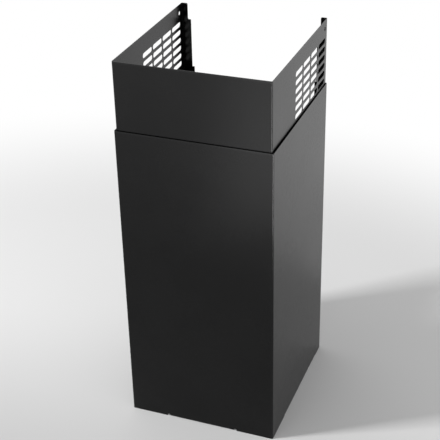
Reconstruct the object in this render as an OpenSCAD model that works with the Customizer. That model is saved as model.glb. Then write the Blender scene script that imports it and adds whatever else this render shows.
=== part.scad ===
// Telescopic chimney of a wall-mounted cooker hood: two folded sheet sleeves,
// open at the back, the upper one sliding up and down inside the lower one.
// The front faces -Y, the wall is at +Y, and the origin is at the middle of the base.

/* [Lower sleeve] */
// Width over the lower sleeve's side panels
lower_w = 240; // [200:1:320]
// Depth of the lower sleeve, from its front panel to the wall
lower_d = 262; // [250:1:340]
// Height of the lower sleeve
lower_h = 500; // [430:1:700]
// Width of each rear flange, from the side panel's outer face
lower_flange_w = 20; // [12:0.5:32]

/* [Upper sleeve] */
// Length of the upper sleeve that stands above the lower one
raised = 105; // [60:1:300]
// Length of the upper sleeve that is still inside the lower one
overlap = 395; // [60:1:410]
// Width of each rear flange, from the side panel's outer face
upper_flange_w = 15; // [12:0.5:25]
// Width that is left of the flange at its narrow top end
flange_neck_w = 10; // [7:0.5:12]
// Height of the flange's narrow top end
flange_neck_h = 26; // [12:0.5:40]
// Radius of the rounded corners of the narrow top end
flange_corner_r = 2; // [0.5:0.25:2.5]

/* [Sheet] */
// Thickness of the steel sheet
sheet_t = 0.8; // [0.6:0.1:1.2]
// Inside radius of every bend
bend_r = 1.2; // [0.8:0.1:2]

/* [Sliding fit] */
// Gap between the two front panels
front_gap = 1.2; // [0.6:0.1:3]
// Gap between the side panels at the front, where the sleeves don't touch
side_gap = 1.9; // [1:0.1:4]
// Gap between the side panels at the rear, where the upper sleeve springs outward
rear_side_gap = 1; // [0.3:0.1:1.5]
// Gap between the rear flanges
rear_gap = 0.4; // [0.3:0.05:1]

/* [Grille] */
// Number of slots in a column
slot_rows = 6; // [1:1:8]
// Number of slots in a row
slot_columns = 4; // [1:1:5]
// Length of a slot over its round ends
slot_l = 34; // [20:0.5:36]
// Height of a slot
slot_h = 8; // [4:0.25:10]
// Sheet left between two slots of a row
rib_l = 3.25; // [2:0.25:8]
// Sheet left between two rows
rib_h = 5; // [3:0.25:8]
// Drop from the top edge to the highest row
grille_drop = 27.5; // [20:0.5:60]
// Distance from the upper sleeve's rear face to the nearest slot
grille_inset = 10; // [8:0.5:30]

/* [Bracket holes] */
// Diameter of the screw hole in each side, for the wall bracket
bracket_hole_d = 6.5; // [3:0.25:7]
// Drop from the top edge to the hole
bracket_hole_drop = 13.5; // [8:0.5:16]
// Distance from the upper sleeve's rear face to the hole
bracket_hole_inset = 12; // [8:0.5:30]

/* [Hood tabs] */
// Depth of the tabs turned inward at the base, from the panel's outer face
tab_depth = 14; // [12:0.5:20]
// Length of the front tab, which is centred
front_tab_l = 109; // [40:1:140]
// Distance from the front face to the long side tabs
side_tab_start = 65.5; // [30:0.5:80]
// Length of the long side tabs
side_tab_l = 128; // [40:1:130]
// Length of the short screw tabs behind them
screw_tab_l = 31; // [16:0.5:32]
// Diameter of the hole in each screw tab
screw_hole_d = 4.5; // [3:0.25:6]
// Distance from the side panel's outer face to the screw hole
screw_hole_inset = 8.5; // [6:0.25:9]
// Width of the relief notches at the ends of the tabs
notch_w = 5; // [3:0.25:6]
// Height of the relief notches
notch_h = 3.5; // [3.5:0.25:6]

/* [Hidden] */
$fn = 48;

// Overrun of every cut past the faces that it opens
cut_over = 1;

bend_out = bend_r + sheet_t;
front_y = -lower_d / 2;
rear_y = lower_d / 2;

upper_h = raised + overlap;
upper_z = lower_h - overlap;
upper_top = lower_h + raised;
upper_front_y = front_y + sheet_t + front_gap;
upper_rear_y = rear_y - sheet_t - rear_gap;
upper_front_w = lower_w - 2 * (sheet_t + side_gap);
upper_rear_w = lower_w - 2 * (sheet_t + rear_side_gap);

// The angle by which the upper sleeve's sides open towards the wall
splay_run = upper_rear_y - upper_front_y - 2 * bend_out;
splay = atan((upper_rear_w - upper_front_w) / 2 / splay_run);

row_pitch = slot_h + rib_h;
column_pitch = slot_l + rib_l;

// Colour of the satin black sheet
sheet_black = [0.2, 0.2, 0.21];

// A bend in plan: the ring's sector between two angles about the bend's centre
module bend(from, to) {
    reach = 2 * bend_out;
    middle = (from + to) / 2;
    intersection() {
        difference() {
            circle(r = bend_out);
            circle(r = bend_r);
        }
        polygon([
            [0, 0],
            reach * [cos(from), sin(from)],
            reach * [cos(middle), sin(middle)],
            reach * [cos(to), sin(to)]
        ]);
    }
}

// Half of a sleeve in plan, on the +X side: half of the front panel, the front bend,
// the side panel leaning outward by the angle lean, the rear bend and the flange.
// The run is the side panel's length between its bends.
module half_plan(front_w, front, run, flange_w, lean) {
    bend_x = front_w / 2 - bend_out;
    flange_run = flange_w - bend_out;

    translate([0, front])
        square([bend_x, sheet_t]);
    translate([bend_x, front + bend_out]) {
        bend(-90, -lean);
        rotate(-lean) {
            translate([bend_r, 0])
                square([sheet_t, run]);
            translate([0, run]) {
                bend(0, 90 + lean);
                rotate(lean)
                    translate([-flange_run, bend_r])
                        square([flange_run, sheet_t]);
            }
        }
    }
}

// A whole sleeve in plan: one sheet folded into an open box
module sleeve_plan(front_w, front, rear, flange_w, lean) {
    run = (rear - front - 2 * bend_out) / cos(lean);
    for (side = [0, 1])
        mirror([side, 0])
            half_plan(front_w, front, run, flange_w, lean);
}

// A tab's section: the bend under the panel and the strip turned inward, along +X
module tab_section() {
    translate([bend_out, bend_out])
        bend(180, 270);
    translate([bend_out, 0])
        square([tab_depth - bend_out, sheet_t]);
}

// A tab of the given length along +Y, under a panel whose outer face is at x = 0
module tab(length) {
    translate([0, length])
        rotate([90, 0, 0])
            linear_extrude(height = length)
                tab_section();
}

// What is cut from the panel for a tab: the bend's height along the tab,
// and a round-topped relief notch at each end
module tab_relief(length) {
    translate([-cut_over, 0, -cut_over])
        cube([sheet_t + 2 * cut_over, length, bend_out + cut_over]);
    for (notch_y = [-notch_w / 2, length + notch_w / 2])
        translate([-cut_over, notch_y, 0])
            notch();
}

// One relief notch through the panel, up from the base
module notch() {
    through = sheet_t + 2 * cut_over;
    shoulder = notch_h - notch_w / 2;
    translate([0, -notch_w / 2, -cut_over])
        cube([through, notch_w, shoulder + cut_over]);
    translate([0, 0, shoulder])
        rotate([0, 90, 0])
            cylinder(h = through, d = notch_w);
}

// Puts a child made for the panel at x = 0 on the front panel's base edge
module on_front(length) {
    translate([length / 2, front_y])
        rotate(90)
            children();
}

// Puts a child made for the panel at x = 0 on both side panels' base edges
module on_sides(start) {
    for (side = [0, 1])
        mirror([side, 0])
            translate([-lower_w / 2, front_y + start])
                children();
}

screw_tab_start = side_tab_start + side_tab_l + notch_w;

module lower_sleeve() {
    color(sheet_black) {
        difference() {
            linear_extrude(height = lower_h)
                sleeve_plan(lower_w, front_y, rear_y, lower_flange_w, 0);
            on_front(front_tab_l)
                tab_relief(front_tab_l);
            on_sides(side_tab_start)
                tab_relief(side_tab_l);
            on_sides(screw_tab_start)
                tab_relief(screw_tab_l);
        }
        on_front(front_tab_l)
            tab(front_tab_l);
        on_sides(side_tab_start)
            tab(side_tab_l);
        on_sides(screw_tab_start)
            screw_tab();
    }
}

// A short side tab with its screw hole
module screw_tab() {
    difference() {
        tab(screw_tab_l);
        translate([screw_hole_inset, screw_tab_l / 2, -cut_over])
            cylinder(h = sheet_t + 2 * cut_over, d = screw_hole_d);
    }
}

// One slot of the grille, through a side panel that stands across X
module slot() {
    through = sheet_t + 2 * cut_over;
    straight = slot_l - slot_h;
    translate([0, slot_h / 2, -slot_h / 2])
        cube([through, straight, slot_h]);
    for (end_y = [slot_h / 2, slot_h / 2 + straight])
        translate([0, end_y, 0])
            rotate([0, 90, 0])
                cylinder(h = through, d = slot_h);
}

// The slots and the bracket hole of one side, measured back from the upper
// sleeve's rear face and down from its top edge
module side_openings() {
    first_y = -grille_inset - slot_l;
    first_z = -grille_drop - slot_h / 2;
    for (row = [0 : slot_rows - 1])
        for (column = [0 : slot_columns - 1])
            translate([0, first_y - column * column_pitch, first_z - row * row_pitch])
                slot();
    translate([0, -bracket_hole_inset, -bracket_hole_drop])
        rotate([0, 90, 0])
            cylinder(h = sheet_t + 2 * cut_over, d = bracket_hole_d);
}

// What is cut from the flange's free edge to leave its narrow top end, in the plane
// of the flange: x runs from the neck's edge towards the free edge, y runs up
module neck_cut() {
    width = upper_flange_w - flange_neck_w + cut_over;
    height = flange_neck_h + cut_over;
    r = flange_corner_r;
    // The step, with the round of its inner corner
    translate([r, 0])
        square([width - r, height]);
    translate([0, r])
        square([width, height - r]);
    translate([r, r])
        circle(r = r);
    // The round of the neck's top corner
    difference() {
        translate([-r, flange_neck_h - r])
            square([2 * r, r + cut_over]);
        translate([-r, flange_neck_h - r])
            circle(r = r);
    }
}

module upper_sleeve() {
    neck_x = upper_rear_w / 2 - flange_neck_w;
    color(sheet_black)
        difference() {
            translate([0, 0, upper_z])
                linear_extrude(height = upper_h)
                    sleeve_plan(upper_front_w, upper_front_y, upper_rear_y,
                        upper_flange_w, splay);
            for (side = [0, 1])
                mirror([side, 0]) {
                    translate([upper_rear_w / 2, upper_rear_y, upper_top])
                        rotate(-splay)
                            translate([-sheet_t - cut_over, 0, 0])
                                side_openings();
                    translate([neck_x, upper_rear_y + cut_over, upper_top - flange_neck_h])
                        mirror([1, 0])
                            rotate([90, 0, 0])
                                linear_extrude(height = sheet_t + 2 * cut_over)
                                    neck_cut();
                }
        }
}

lower_sleeve();
upper_sleeve();
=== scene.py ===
"""Looks and studio for a telescopic cooker hood chimney: satin black powder coat on its two
folded sheet sleeves, a pale floor with the chimney's own soft shadow, and a catalogue camera."""

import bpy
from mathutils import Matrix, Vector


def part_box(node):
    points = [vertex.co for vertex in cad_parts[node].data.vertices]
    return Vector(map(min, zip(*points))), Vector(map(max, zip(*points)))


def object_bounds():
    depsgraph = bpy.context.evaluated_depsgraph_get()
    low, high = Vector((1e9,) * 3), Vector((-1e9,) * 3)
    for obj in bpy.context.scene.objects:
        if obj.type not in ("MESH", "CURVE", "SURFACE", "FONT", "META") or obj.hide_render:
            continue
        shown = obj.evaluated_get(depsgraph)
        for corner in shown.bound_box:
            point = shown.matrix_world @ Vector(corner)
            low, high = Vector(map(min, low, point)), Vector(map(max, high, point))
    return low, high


bl_info = {
    "name": "Cooker hood chimney",
    "version": (1, 0, 0),
    "blender": (4, 5, 0),
    "location": "3D View > Sidebar > Chimney",
    "description": "Finishes the two sleeves of a cooker hood chimney and sets up its studio",
    "category": "Object",
}

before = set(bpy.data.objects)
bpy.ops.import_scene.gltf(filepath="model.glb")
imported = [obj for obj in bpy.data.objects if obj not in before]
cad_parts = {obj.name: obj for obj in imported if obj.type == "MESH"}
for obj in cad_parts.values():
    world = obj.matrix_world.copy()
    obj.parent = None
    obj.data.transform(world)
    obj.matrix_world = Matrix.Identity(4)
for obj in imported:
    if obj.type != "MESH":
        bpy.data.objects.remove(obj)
CAD_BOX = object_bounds()

import math

import bpy
from bpy.props import FloatProperty, FloatVectorProperty, PointerProperty
from mathutils import Matrix, Vector

MM = 0.001
WHITE = (1.0, 1.0, 1.0, 1.0)

# How far each sleeve's noise is shifted along X, in metres, so that the two don't match
NOISE_SHIFTS = {"lower_sleeve": 3.1, "upper_sleeve": 7.7}
# Layers of detail in each noise of the coat
CLOUD_DETAIL = 3.0
PEEL_DETAIL = 1.0
GRAIN_DETAIL = 2.0
# The middle of a noise's range, and the part of it in which the coat goes from full to thin
NOISE_MIDDLE = 0.5
THIN_FROM = 0.35
THIN_TO = 0.7

LAMPS = ("key", "fill", "rim", "wash")
FLOOR_SIDES = 96
SENSOR_WIDTH_MM = 36.0
VIEW_REACH = 100.0


def find_socket(sockets, key):
    """The socket at an index or with an identifier."""
    if isinstance(key, int):
        return sockets[key]
    return next(socket for socket in sockets if socket.identifier == key)


class Channel:
    """A shader socket that takes part in Python expressions, each of which adds Math nodes."""

    def __init__(self, graph, socket):
        self.graph = graph
        self.socket = socket

    def _math(self, operation, *values):
        return self.graph.node("ShaderNodeMath", {"operation": operation}, list(values))

    def __add__(self, other):
        return self._math("ADD", self, other)

    def __sub__(self, other):
        return self._math("SUBTRACT", self, other)

    def __mul__(self, other):
        return self._math("MULTIPLY", self, other)

    def __rsub__(self, other):
        return self._math("SUBTRACT", other, self)

    def __abs__(self):
        return self._math("ABSOLUTE", self)

    __radd__ = __add__
    __rmul__ = __mul__

    def largest(self, other):
        return self._math("MAXIMUM", self, other)

    def smoothly(self, start, end):
        """0 up to start, 1 from end on, and a smooth step between them."""
        settings = {"interpolation_type": "SMOOTHSTEP"}
        sockets = {"Value": self, "From Min": start, "From Max": end}
        return self.graph.node("ShaderNodeMapRange", settings, sockets, "Result")

    def beside(self, output):
        """Another output of the same node."""
        return Channel(self.graph, find_socket(self.socket.node.outputs, output))


class Graph:
    """A node tree that is being written."""

    def __init__(self, tree):
        self.tree = tree
        tree.nodes.clear()

    def node(self, kind, settings=None, sockets=None, output=0):
        """Adds a node: its settings first, then its sockets' values or links."""
        made = self.tree.nodes.new(kind)
        for name, value in (settings or {}).items():
            setattr(made, name, value)
        pairs = enumerate(sockets) if isinstance(sockets, list) else (sockets or {}).items()
        for key, value in pairs:
            socket = find_socket(made.inputs, key)
            if isinstance(value, Channel):
                self.tree.links.new(value.socket, socket)
            else:
                socket.default_value = value
        return Channel(self, find_socket(made.outputs, output)) if made.outputs else None

    def split(self, place):
        """The X, Y and Z of a place."""
        across = self.node("ShaderNodeSeparateXYZ", {}, [place], "X")
        return across, across.beside("Y"), across.beside("Z")

    def blend_colours(self, share, first, second):
        """A colour between two, by share."""
        sockets = {"Factor_Float": share, "A_Color": first, "B_Color": second}
        return self.node("ShaderNodeMix", {"data_type": "RGBA"}, sockets, "Result_Color")

    def noise(self, place, size, detail):
        """Noise whose lumps are about size metres across."""
        sockets = {"Vector": place, "Scale": 1 / size, "Detail": detail}
        return self.node("ShaderNodeTexNoise", {}, sockets)

    def seen_directly(self):
        """1 for what the camera sees by itself, in a gloss or through glass, otherwise 0."""
        camera = self.node("ShaderNodeLightPath", {}, {}, "Is Camera Ray")
        gloss = camera.beside("Is Glossy Ray")
        return camera.largest(gloss).largest(camera.beside("Is Transmission Ray"))


def rgba(colour):
    """A colour with full opacity."""
    return (*colour, 1.0)


def deselect_all():
    """Leaves no object selected."""
    for thing in bpy.context.selected_objects:
        thing.select_set(False)


class ChimneyFinish(bpy.types.PropertyGroup):
    """The powder coat."""

    coat: FloatVectorProperty(
        name="Coat", description="Colour of the powder coat",
        subtype="COLOR", size=3, min=0, max=1, default=(0.0022, 0.0022, 0.0023))
    coat_thin: FloatVectorProperty(
        name="Thin coat", description="Colour where the powder lies a little thinner",
        subtype="COLOR", size=3, min=0, max=1, default=(0.0035, 0.0035, 0.0036))
    cloud: FloatProperty(
        name="Cloud", description="Size of the slow changes of tone across a panel",
        unit="LENGTH", default=90 * MM, min=10 * MM)
    roughness: FloatProperty(
        name="Roughness", description="Roughness of the satin surface",
        subtype="FACTOR", default=0.27, min=0, max=1)
    index: FloatProperty(
        name="Index", description="Index of refraction of the coat", default=1.3, min=1.2, max=1.8)
    roughness_change: FloatProperty(
        name="Roughness change", description="How far the roughness drifts across a panel",
        subtype="FACTOR", default=0.03, min=0, max=0.3)
    peel: FloatProperty(
        name="Orange peel", description="Size of the slow waves in the melted powder",
        unit="LENGTH", default=2.6 * MM, min=0.5 * MM)
    peel_depth: FloatProperty(
        name="Peel depth", description="Height of those waves",
        unit="LENGTH", default=0.02 * MM, min=0)
    grain: FloatProperty(
        name="Grain", description="Size of the fine grain of the powder",
        unit="LENGTH", default=0.6 * MM, min=0.1 * MM)
    grain_depth: FloatProperty(
        name="Grain depth", description="Height of the fine grain",
        unit="LENGTH", default=0.006 * MM, min=0)
    rub_and_highlight_width: FloatProperty(
        name="Rubbed width", description="How far from a bend or the top edge the coat is rubbed",
        unit="LENGTH", default=4 * MM, min=1 * MM)
    # Painted highlight, partly rubbed wear: a lighter coat along the bends and the top edge.
    rub_and_highlight_coat: FloatVectorProperty(
        name="Rubbed coat", description="Colour of the coat along the bends and the top edge",
        subtype="COLOR", size=3, min=0, max=1, default=(0.008, 0.008, 0.0083))
    rub_smoothing: FloatProperty(
        name="Rubbed smoothing", description="How much less rough the coat is where it is rubbed",
        subtype="FACTOR", default=0.07, min=0, max=0.2)


class ChimneyStudio(bpy.types.PropertyGroup):
    """The floor, the lamps and the camera."""

    floor_back: FloatVectorProperty(
        name="Floor", description="Colour of the floor beside and behind the chimney",
        subtype="COLOR", size=3, min=0, max=1, default=(0.86, 0.86, 0.86))
    # Painted shade: a darker floor colour in front of the chimney, in place of less light there.
    floor_front_shade: FloatVectorProperty(
        name="Floor in front", description="Colour of the floor in front of the chimney",
        subtype="COLOR", size=3, min=0, max=1, default=(0.55, 0.55, 0.55))
    # Where along Y the painted shade in front is full and where it has gone.
    tone_front: FloatProperty(
        name="Tone front", description="Y at which the floor is wholly the front's colour",
        unit="LENGTH", default=-0.45)
    tone_back: FloatProperty(
        name="Tone back", description="Y at which the floor is wholly the back's colour",
        unit="LENGTH", default=0.1)
    pool: FloatVectorProperty(
        name="Pool", description="Middle of the part of the floor that isn't plain white",
        subtype="TRANSLATION", size=3, default=(-0.15, -0.3, 0.0))
    pool_core: FloatProperty(
        name="Pool core", description="Radius at which the floor starts to blend into white",
        unit="LENGTH", default=0.8)
    pool_reach: FloatProperty(
        name="Pool reach", description="Radius from which the floor is plain white",
        unit="LENGTH", default=1.38)
    floor_radius: FloatProperty(
        name="Floor radius", description="Radius of the floor", unit="LENGTH", default=9.0)
    sky: FloatProperty(
        name="Sky", description="Brightness of the room's own light", default=0.56, min=0)
    key_place: FloatVectorProperty(
        name="Key lamp", description="Where the high lamp on the left hangs",
        subtype="TRANSLATION", size=3, default=(-1.9, -1.225, 2.6))
    key_aim: FloatVectorProperty(
        name="Key aim", description="The point that the key lamp faces",
        subtype="TRANSLATION", size=3, default=(0.0, 0.0, 0.3))
    key_size: FloatProperty(
        name="Key size", description="Side of the key lamp", unit="LENGTH", default=0.35)
    key_power: FloatProperty(
        name="Key power", description="Power of the key lamp", unit="POWER", default=57.0)
    key_spread: FloatProperty(
        name="Key spread", description="How widely the light of the key lamp fans out",
        subtype="ANGLE", default=math.radians(180))
    fill_place: FloatVectorProperty(
        name="Fill lamp", description="Where the low lamp in front stands",
        subtype="TRANSLATION", size=3, default=(0.0, -0.78, 0.22))
    fill_aim: FloatVectorProperty(
        name="Fill aim", description="The point that the fill lamp faces",
        subtype="TRANSLATION", size=3, default=(0.08, -0.13, 0.55))
    fill_size: FloatProperty(
        name="Fill size", description="Side of the fill lamp", unit="LENGTH", default=0.35)
    fill_power: FloatProperty(
        name="Fill power", description="Power of the fill lamp", unit="POWER", default=0.82)
    fill_spread: FloatProperty(
        name="Fill spread", description="How widely the light of the fill lamp fans out",
        subtype="ANGLE", default=math.radians(180))
    rim_place: FloatVectorProperty(
        name="Rim lamp", description="Where the lamp that lights the front right bends stands",
        subtype="TRANSLATION", size=3, default=(0.54, -0.55, 0.2))
    rim_aim: FloatVectorProperty(
        name="Rim aim", description="The point that the rim lamp faces",
        subtype="TRANSLATION", size=3, default=(0.12, -0.13, 0.51))
    rim_size: FloatProperty(
        name="Rim size", description="Side of the rim lamp", unit="LENGTH", default=0.3)
    rim_power: FloatProperty(
        name="Rim power", description="Power of the rim lamp", unit="POWER", default=0.23)
    rim_spread: FloatProperty(
        name="Rim spread", description="How widely the light of the rim lamp fans out",
        subtype="ANGLE", default=math.radians(24))
    wash_place: FloatVectorProperty(
        name="Wash lamp", description="Where the dim lamp in front on the left stands",
        subtype="TRANSLATION", size=3, default=(-0.38, -0.78, 0.26))
    wash_aim: FloatVectorProperty(
        name="Wash aim", description="The point that the wash lamp faces",
        subtype="TRANSLATION", size=3, default=(-0.08, -0.13, 0.55))
    wash_size: FloatProperty(
        name="Wash size", description="Side of the wash lamp", unit="LENGTH", default=0.45)
    wash_power: FloatProperty(
        name="Wash power", description="Power of the wash lamp", unit="POWER", default=0.18)
    wash_spread: FloatProperty(
        name="Wash spread", description="How widely the light of the wash lamp fans out",
        subtype="ANGLE", default=math.radians(180))
    azimuth: FloatProperty(
        name="Azimuth", description="Camera's turn round the chimney, from its front",
        subtype="ANGLE", default=math.radians(21.27))
    elevation: FloatProperty(
        name="Elevation", description="Camera's height above the horizon",
        subtype="ANGLE", default=math.radians(29.63))
    roll: FloatProperty(
        name="Roll", description="Camera's tilt about its own line of sight",
        subtype="ANGLE", default=math.radians(-1.32))
    distance: FloatProperty(
        name="Distance", description="From the camera to the point that it looks at",
        unit="LENGTH", default=1.831)
    target: FloatVectorProperty(
        name="Target", description="The point in the middle of the picture",
        subtype="TRANSLATION", size=3, default=(-0.0242, 0.0323, 0.2831))
    lens: FloatProperty(
        name="Lens", description="Focal length for a 36 mm sensor, in millimetres",
        default=93.13)


def powder_coat(name, finish, box, shift):
    """Satin black powder coat, with the slow waves and the fine grain of melted powder, and
    rubbed a little along the bends and the top edge of the sleeve that fills the box, where a
    lighter coat also paints a highlight."""
    material = bpy.data.materials.new(name)
    material.use_nodes = True
    graph = Graph(material.node_tree)
    here = graph.node("ShaderNodeTexCoord", {}, {}, "Object")
    place = graph.node("ShaderNodeMapping", {}, {"Vector": here, "Location": (shift, 0.0, 0.0)})

    cloud = graph.noise(place, finish.cloud, CLOUD_DETAIL)
    peel = graph.noise(place, finish.peel, PEEL_DETAIL)
    grain = graph.noise(place, finish.grain, GRAIN_DETAIL)

    lowest, highest = box
    across, along, up = graph.split(here)
    sideways = abs(across)
    to_front_bend = sideways - along - (highest[0] - lowest[1])
    to_rear_bend = sideways + along - (highest[0] + highest[1])
    to_bend = to_front_bend.largest(to_rear_bend)
    # Mask of the bends and the top edge: rubbed wear there, and also a painted highlight; it
    # smooths the roughness too.
    rubbed_and_highlit = to_bend.largest(up - highest[2]).smoothly(-finish.rub_and_highlight_width, 0.0)

    colour = graph.blend_colours(
        cloud.smoothly(THIN_FROM, THIN_TO), rgba(finish.coat), rgba(finish.coat_thin))
    # Lighter coat along the bends and the top edge: a painted highlight as well as rubbed wear.
    colour = graph.blend_colours(rubbed_and_highlit, colour, rgba(finish.rub_and_highlight_coat))
    drift = (cloud - NOISE_MIDDLE) * 2 * finish.roughness_change
    fine = (grain - NOISE_MIDDLE) * finish.roughness_change
    rough = drift + fine + finish.roughness - rubbed_and_highlit * finish.rub_smoothing
    waves = (peel - NOISE_MIDDLE) * finish.peel_depth
    height = waves + (grain - NOISE_MIDDLE) * finish.grain_depth
    bump = graph.node("ShaderNodeBump", {}, {"Strength": 1.0, "Distance": 1.0, "Height": height})
    shader = graph.node("ShaderNodeBsdfPrincipled", {}, {
        "Base Color": colour,
        "Roughness": rough,
        "IOR": finish.index,
        "Normal": bump,
    })
    graph.node("ShaderNodeOutputMaterial", {}, {"Surface": shader})
    return material


def dress(node):
    """Gives a CAD node its powder coat."""
    finish = bpy.context.scene.chimney_finish
    material = powder_coat(f"powder_coat_{node}", finish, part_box(node), NOISE_SHIFTS[node])
    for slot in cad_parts[node].material_slots:
        slot.material = material


class CHIMNEY_OT_lower_sleeve(bpy.types.Operator):
    """Powder coats the lower sleeve"""

    bl_idname = "chimney.lower_sleeve"
    bl_label = "Finish the lower sleeve"

    def execute(self, context):
        dress("lower_sleeve")
        return {"FINISHED"}


class CHIMNEY_OT_upper_sleeve(bpy.types.Operator):
    """Powder coats the upper sleeve"""

    bl_idname = "chimney.upper_sleeve"
    bl_label = "Finish the upper sleeve"

    def execute(self, context):
        dress("upper_sleeve")
        return {"FINISHED"}


def add_floor(studio):
    """A round pale floor: it keeps the chimney's shadow, is painted darker in front as painted
    shade, and blends into plain white further out."""
    deselect_all()
    bpy.ops.mesh.primitive_circle_add(
        vertices=FLOOR_SIDES, radius=studio.floor_radius, fill_type="NGON",
        location=(0.0, 0.0, CAD_BOX[0][2]))
    floor = bpy.context.active_object
    floor.name = "floor"
    bpy.ops.object.transform_apply(location=True, rotation=True, scale=True)

    material = bpy.data.materials.new("floor_pale")
    material.use_nodes = True
    graph = Graph(material.node_tree)
    place = graph.node("ShaderNodeTexCoord", {}, {}, "Object")
    _, along, _ = graph.split(place)
    # Painted shade: the floor's colour darkens towards the front of the chimney.
    tone = graph.blend_colours(
        along.smoothly(studio.tone_front, studio.tone_back),
        rgba(studio.floor_front_shade), rgba(studio.floor_back))
    lit = graph.node("ShaderNodeBsdfDiffuse", {}, {"Color": tone})
    plain = graph.node("ShaderNodeEmission", {}, {"Color": WHITE, "Strength": 1.0})
    away = graph.node(
        "ShaderNodeVectorMath", {"operation": "DISTANCE"}, [place, studio.pool], "Value")
    share = away.smoothly(studio.pool_core, studio.pool_reach) * graph.seen_directly()
    both = graph.node("ShaderNodeMixShader", {}, [share, lit, plain])
    graph.node("ShaderNodeOutputMaterial", {}, {"Surface": both})
    floor.data.materials.append(material)


def add_sky(studio):
    """The room's own light, which shows as plain white."""
    world = bpy.data.worlds.new("room")
    world.use_nodes = True
    bpy.context.scene.world = world
    graph = Graph(world.node_tree)
    strength = graph.seen_directly() * (1 - studio.sky) + studio.sky
    shader = graph.node("ShaderNodeBackground", {}, {"Color": WHITE, "Strength": strength})
    graph.node("ShaderNodeOutputWorld", {}, {"Surface": shader})


def add_lamp(name, studio):
    """A square soft box that the camera doesn't see."""
    place, aim, size, power, spread = (
        getattr(studio, f"{name}_{what}") for what in ("place", "aim", "size", "power", "spread"))
    light = bpy.data.lights.new(f"{name}_lamp", "AREA")
    light.shape = "SQUARE"
    light.size = size
    light.energy = power
    light.spread = spread
    lamp = bpy.data.objects.new(f"{name}_lamp", light)
    lamp.location = place
    lamp.rotation_euler = (Vector(aim) - Vector(place)).to_track_quat("-Z", "Y").to_euler()
    lamp.visible_camera = False
    bpy.context.scene.collection.objects.link(lamp)


def add_camera(studio):
    """The camera, turned round the chimney, raised and rolled."""
    data = bpy.data.cameras.new("camera")
    data.sensor_width = SENSOR_WIDTH_MM
    data.lens = studio.lens
    data.clip_end = VIEW_REACH
    camera = bpy.data.objects.new("camera", data)
    turn = (
        Matrix.Rotation(studio.azimuth, 4, "Z")
        @ Matrix.Rotation(math.pi / 2 - studio.elevation, 4, "X")
        @ Matrix.Rotation(studio.roll, 4, "Z")
    )
    step_back = Matrix.Translation((0, 0, studio.distance))
    camera.matrix_world = Matrix.Translation(studio.target) @ turn @ step_back
    bpy.context.scene.collection.objects.link(camera)
    bpy.context.scene.camera = camera


class CHIMNEY_OT_studio(bpy.types.Operator):
    """Sets up the floor, the lamps and the camera"""

    bl_idname = "chimney.studio"
    bl_label = "Set up the studio"

    def execute(self, context):
        studio = context.scene.chimney_studio
        add_floor(studio)
        add_sky(studio)
        for name in LAMPS:
            add_lamp(name, studio)
        add_camera(studio)
        context.scene.view_settings.view_transform = "Standard"
        return {"FINISHED"}


class CHIMNEY_PT_sidebar(bpy.types.Panel):
    """Lists the steps"""

    bl_label = "Cooker hood chimney"
    bl_idname = "CHIMNEY_PT_sidebar"
    bl_space_type = "VIEW_3D"
    bl_region_type = "UI"
    bl_category = "Chimney"

    def draw(self, context):
        for step in STEPS:
            self.layout.operator(step.bl_idname)
        for group in (context.scene.chimney_finish, context.scene.chimney_studio):
            for name in group.bl_rna.properties.keys():
                if name not in {"rna_type", "name"}:
                    self.layout.prop(group, name)


STEPS = (CHIMNEY_OT_lower_sleeve, CHIMNEY_OT_upper_sleeve, CHIMNEY_OT_studio)
CLASSES = (ChimneyFinish, ChimneyStudio, *STEPS, CHIMNEY_PT_sidebar)


def register():
    for made in CLASSES:
        bpy.utils.register_class(made)
    bpy.types.Scene.chimney_finish = PointerProperty(type=ChimneyFinish)
    bpy.types.Scene.chimney_studio = PointerProperty(type=ChimneyStudio)


def unregister():
    del bpy.types.Scene.chimney_studio
    del bpy.types.Scene.chimney_finish
    for made in reversed(CLASSES):
        bpy.utils.unregister_class(made)


def main():
    register()
    bpy.ops.chimney.lower_sleeve()
    bpy.ops.chimney.upper_sleeve()
    bpy.ops.chimney.studio()


if __name__ == "__main__":
    main()
